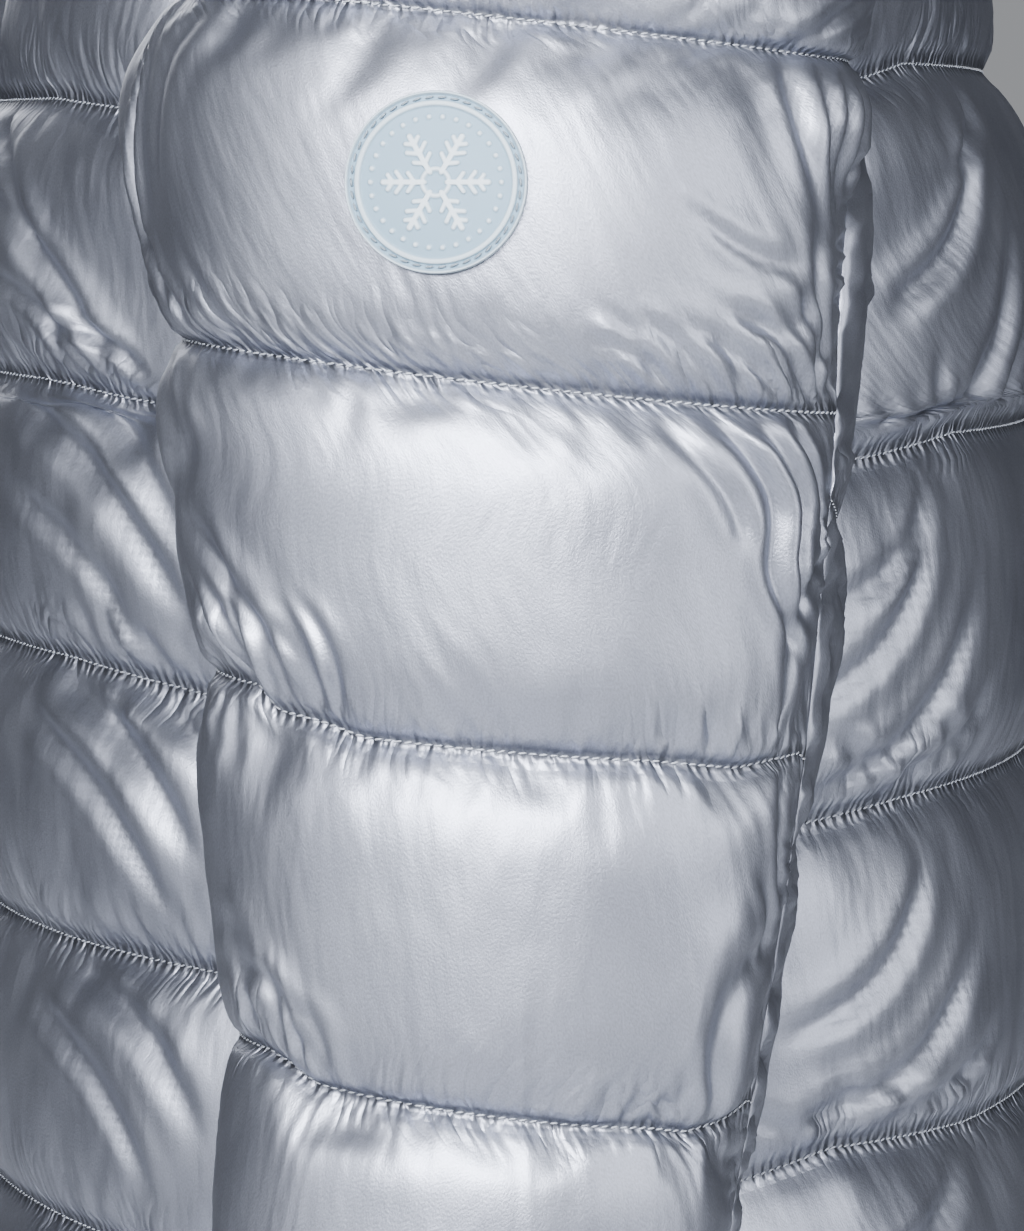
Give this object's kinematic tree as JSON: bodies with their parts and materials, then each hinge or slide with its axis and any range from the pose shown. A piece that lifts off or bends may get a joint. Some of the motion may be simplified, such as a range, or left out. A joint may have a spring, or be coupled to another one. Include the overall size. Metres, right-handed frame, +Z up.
{
  "type": "long puffer coat",
  "caption": "Long quilted puffer coat in silver-grey satin, zipped to a stand collar, hollow as if worn, with a round rubber badge on the sleeve.",
  "frame": {"origin": "middle of the base of the neck, where the wearer's shoulders carry the coat", "axes": "+Z up, -Y towards the wearer's front, +X towards the wearer's left"},
  "size_m": [0.6912, 0.4045, 1.1446],
  "materials": {
    "satin": "silver-grey satin woven nylon, quilted over wadding, with a soft metallic sheen",
    "zip_tape": "grey woven polyester zip tape with moulded teeth",
    "zip_metal": "silver-plated zip slider and pull, satin",
    "badge_rubber": "pale blue-grey moulded soft rubber, matt, stitched round its edge"
  },
  "bodies": {
    "coat": {"front_left": "satin", "front_right": "satin", "back": "satin", "collar": "satin", "sleeve_left_top": "satin", "sleeve_left_under": "satin", "sleeve_right_top": "satin", "sleeve_right_under": "satin", "zip_tape_left": "zip_tape", "zip_tape_right": "zip_tape", "zip_slider": "zip_metal", "sleeve_badge": "badge_rubber"},
    "pull": {"zip_pull": "zip_metal"}
  },
  "joints": [
    {"name": "pull_swing", "type": "hinge", "parent": "coat", "child": "pull", "pos_m": [0, -0.07244, 0.03002], "axis": [-1, 0, 0], "range_deg": [0, 130]}
  ]
}
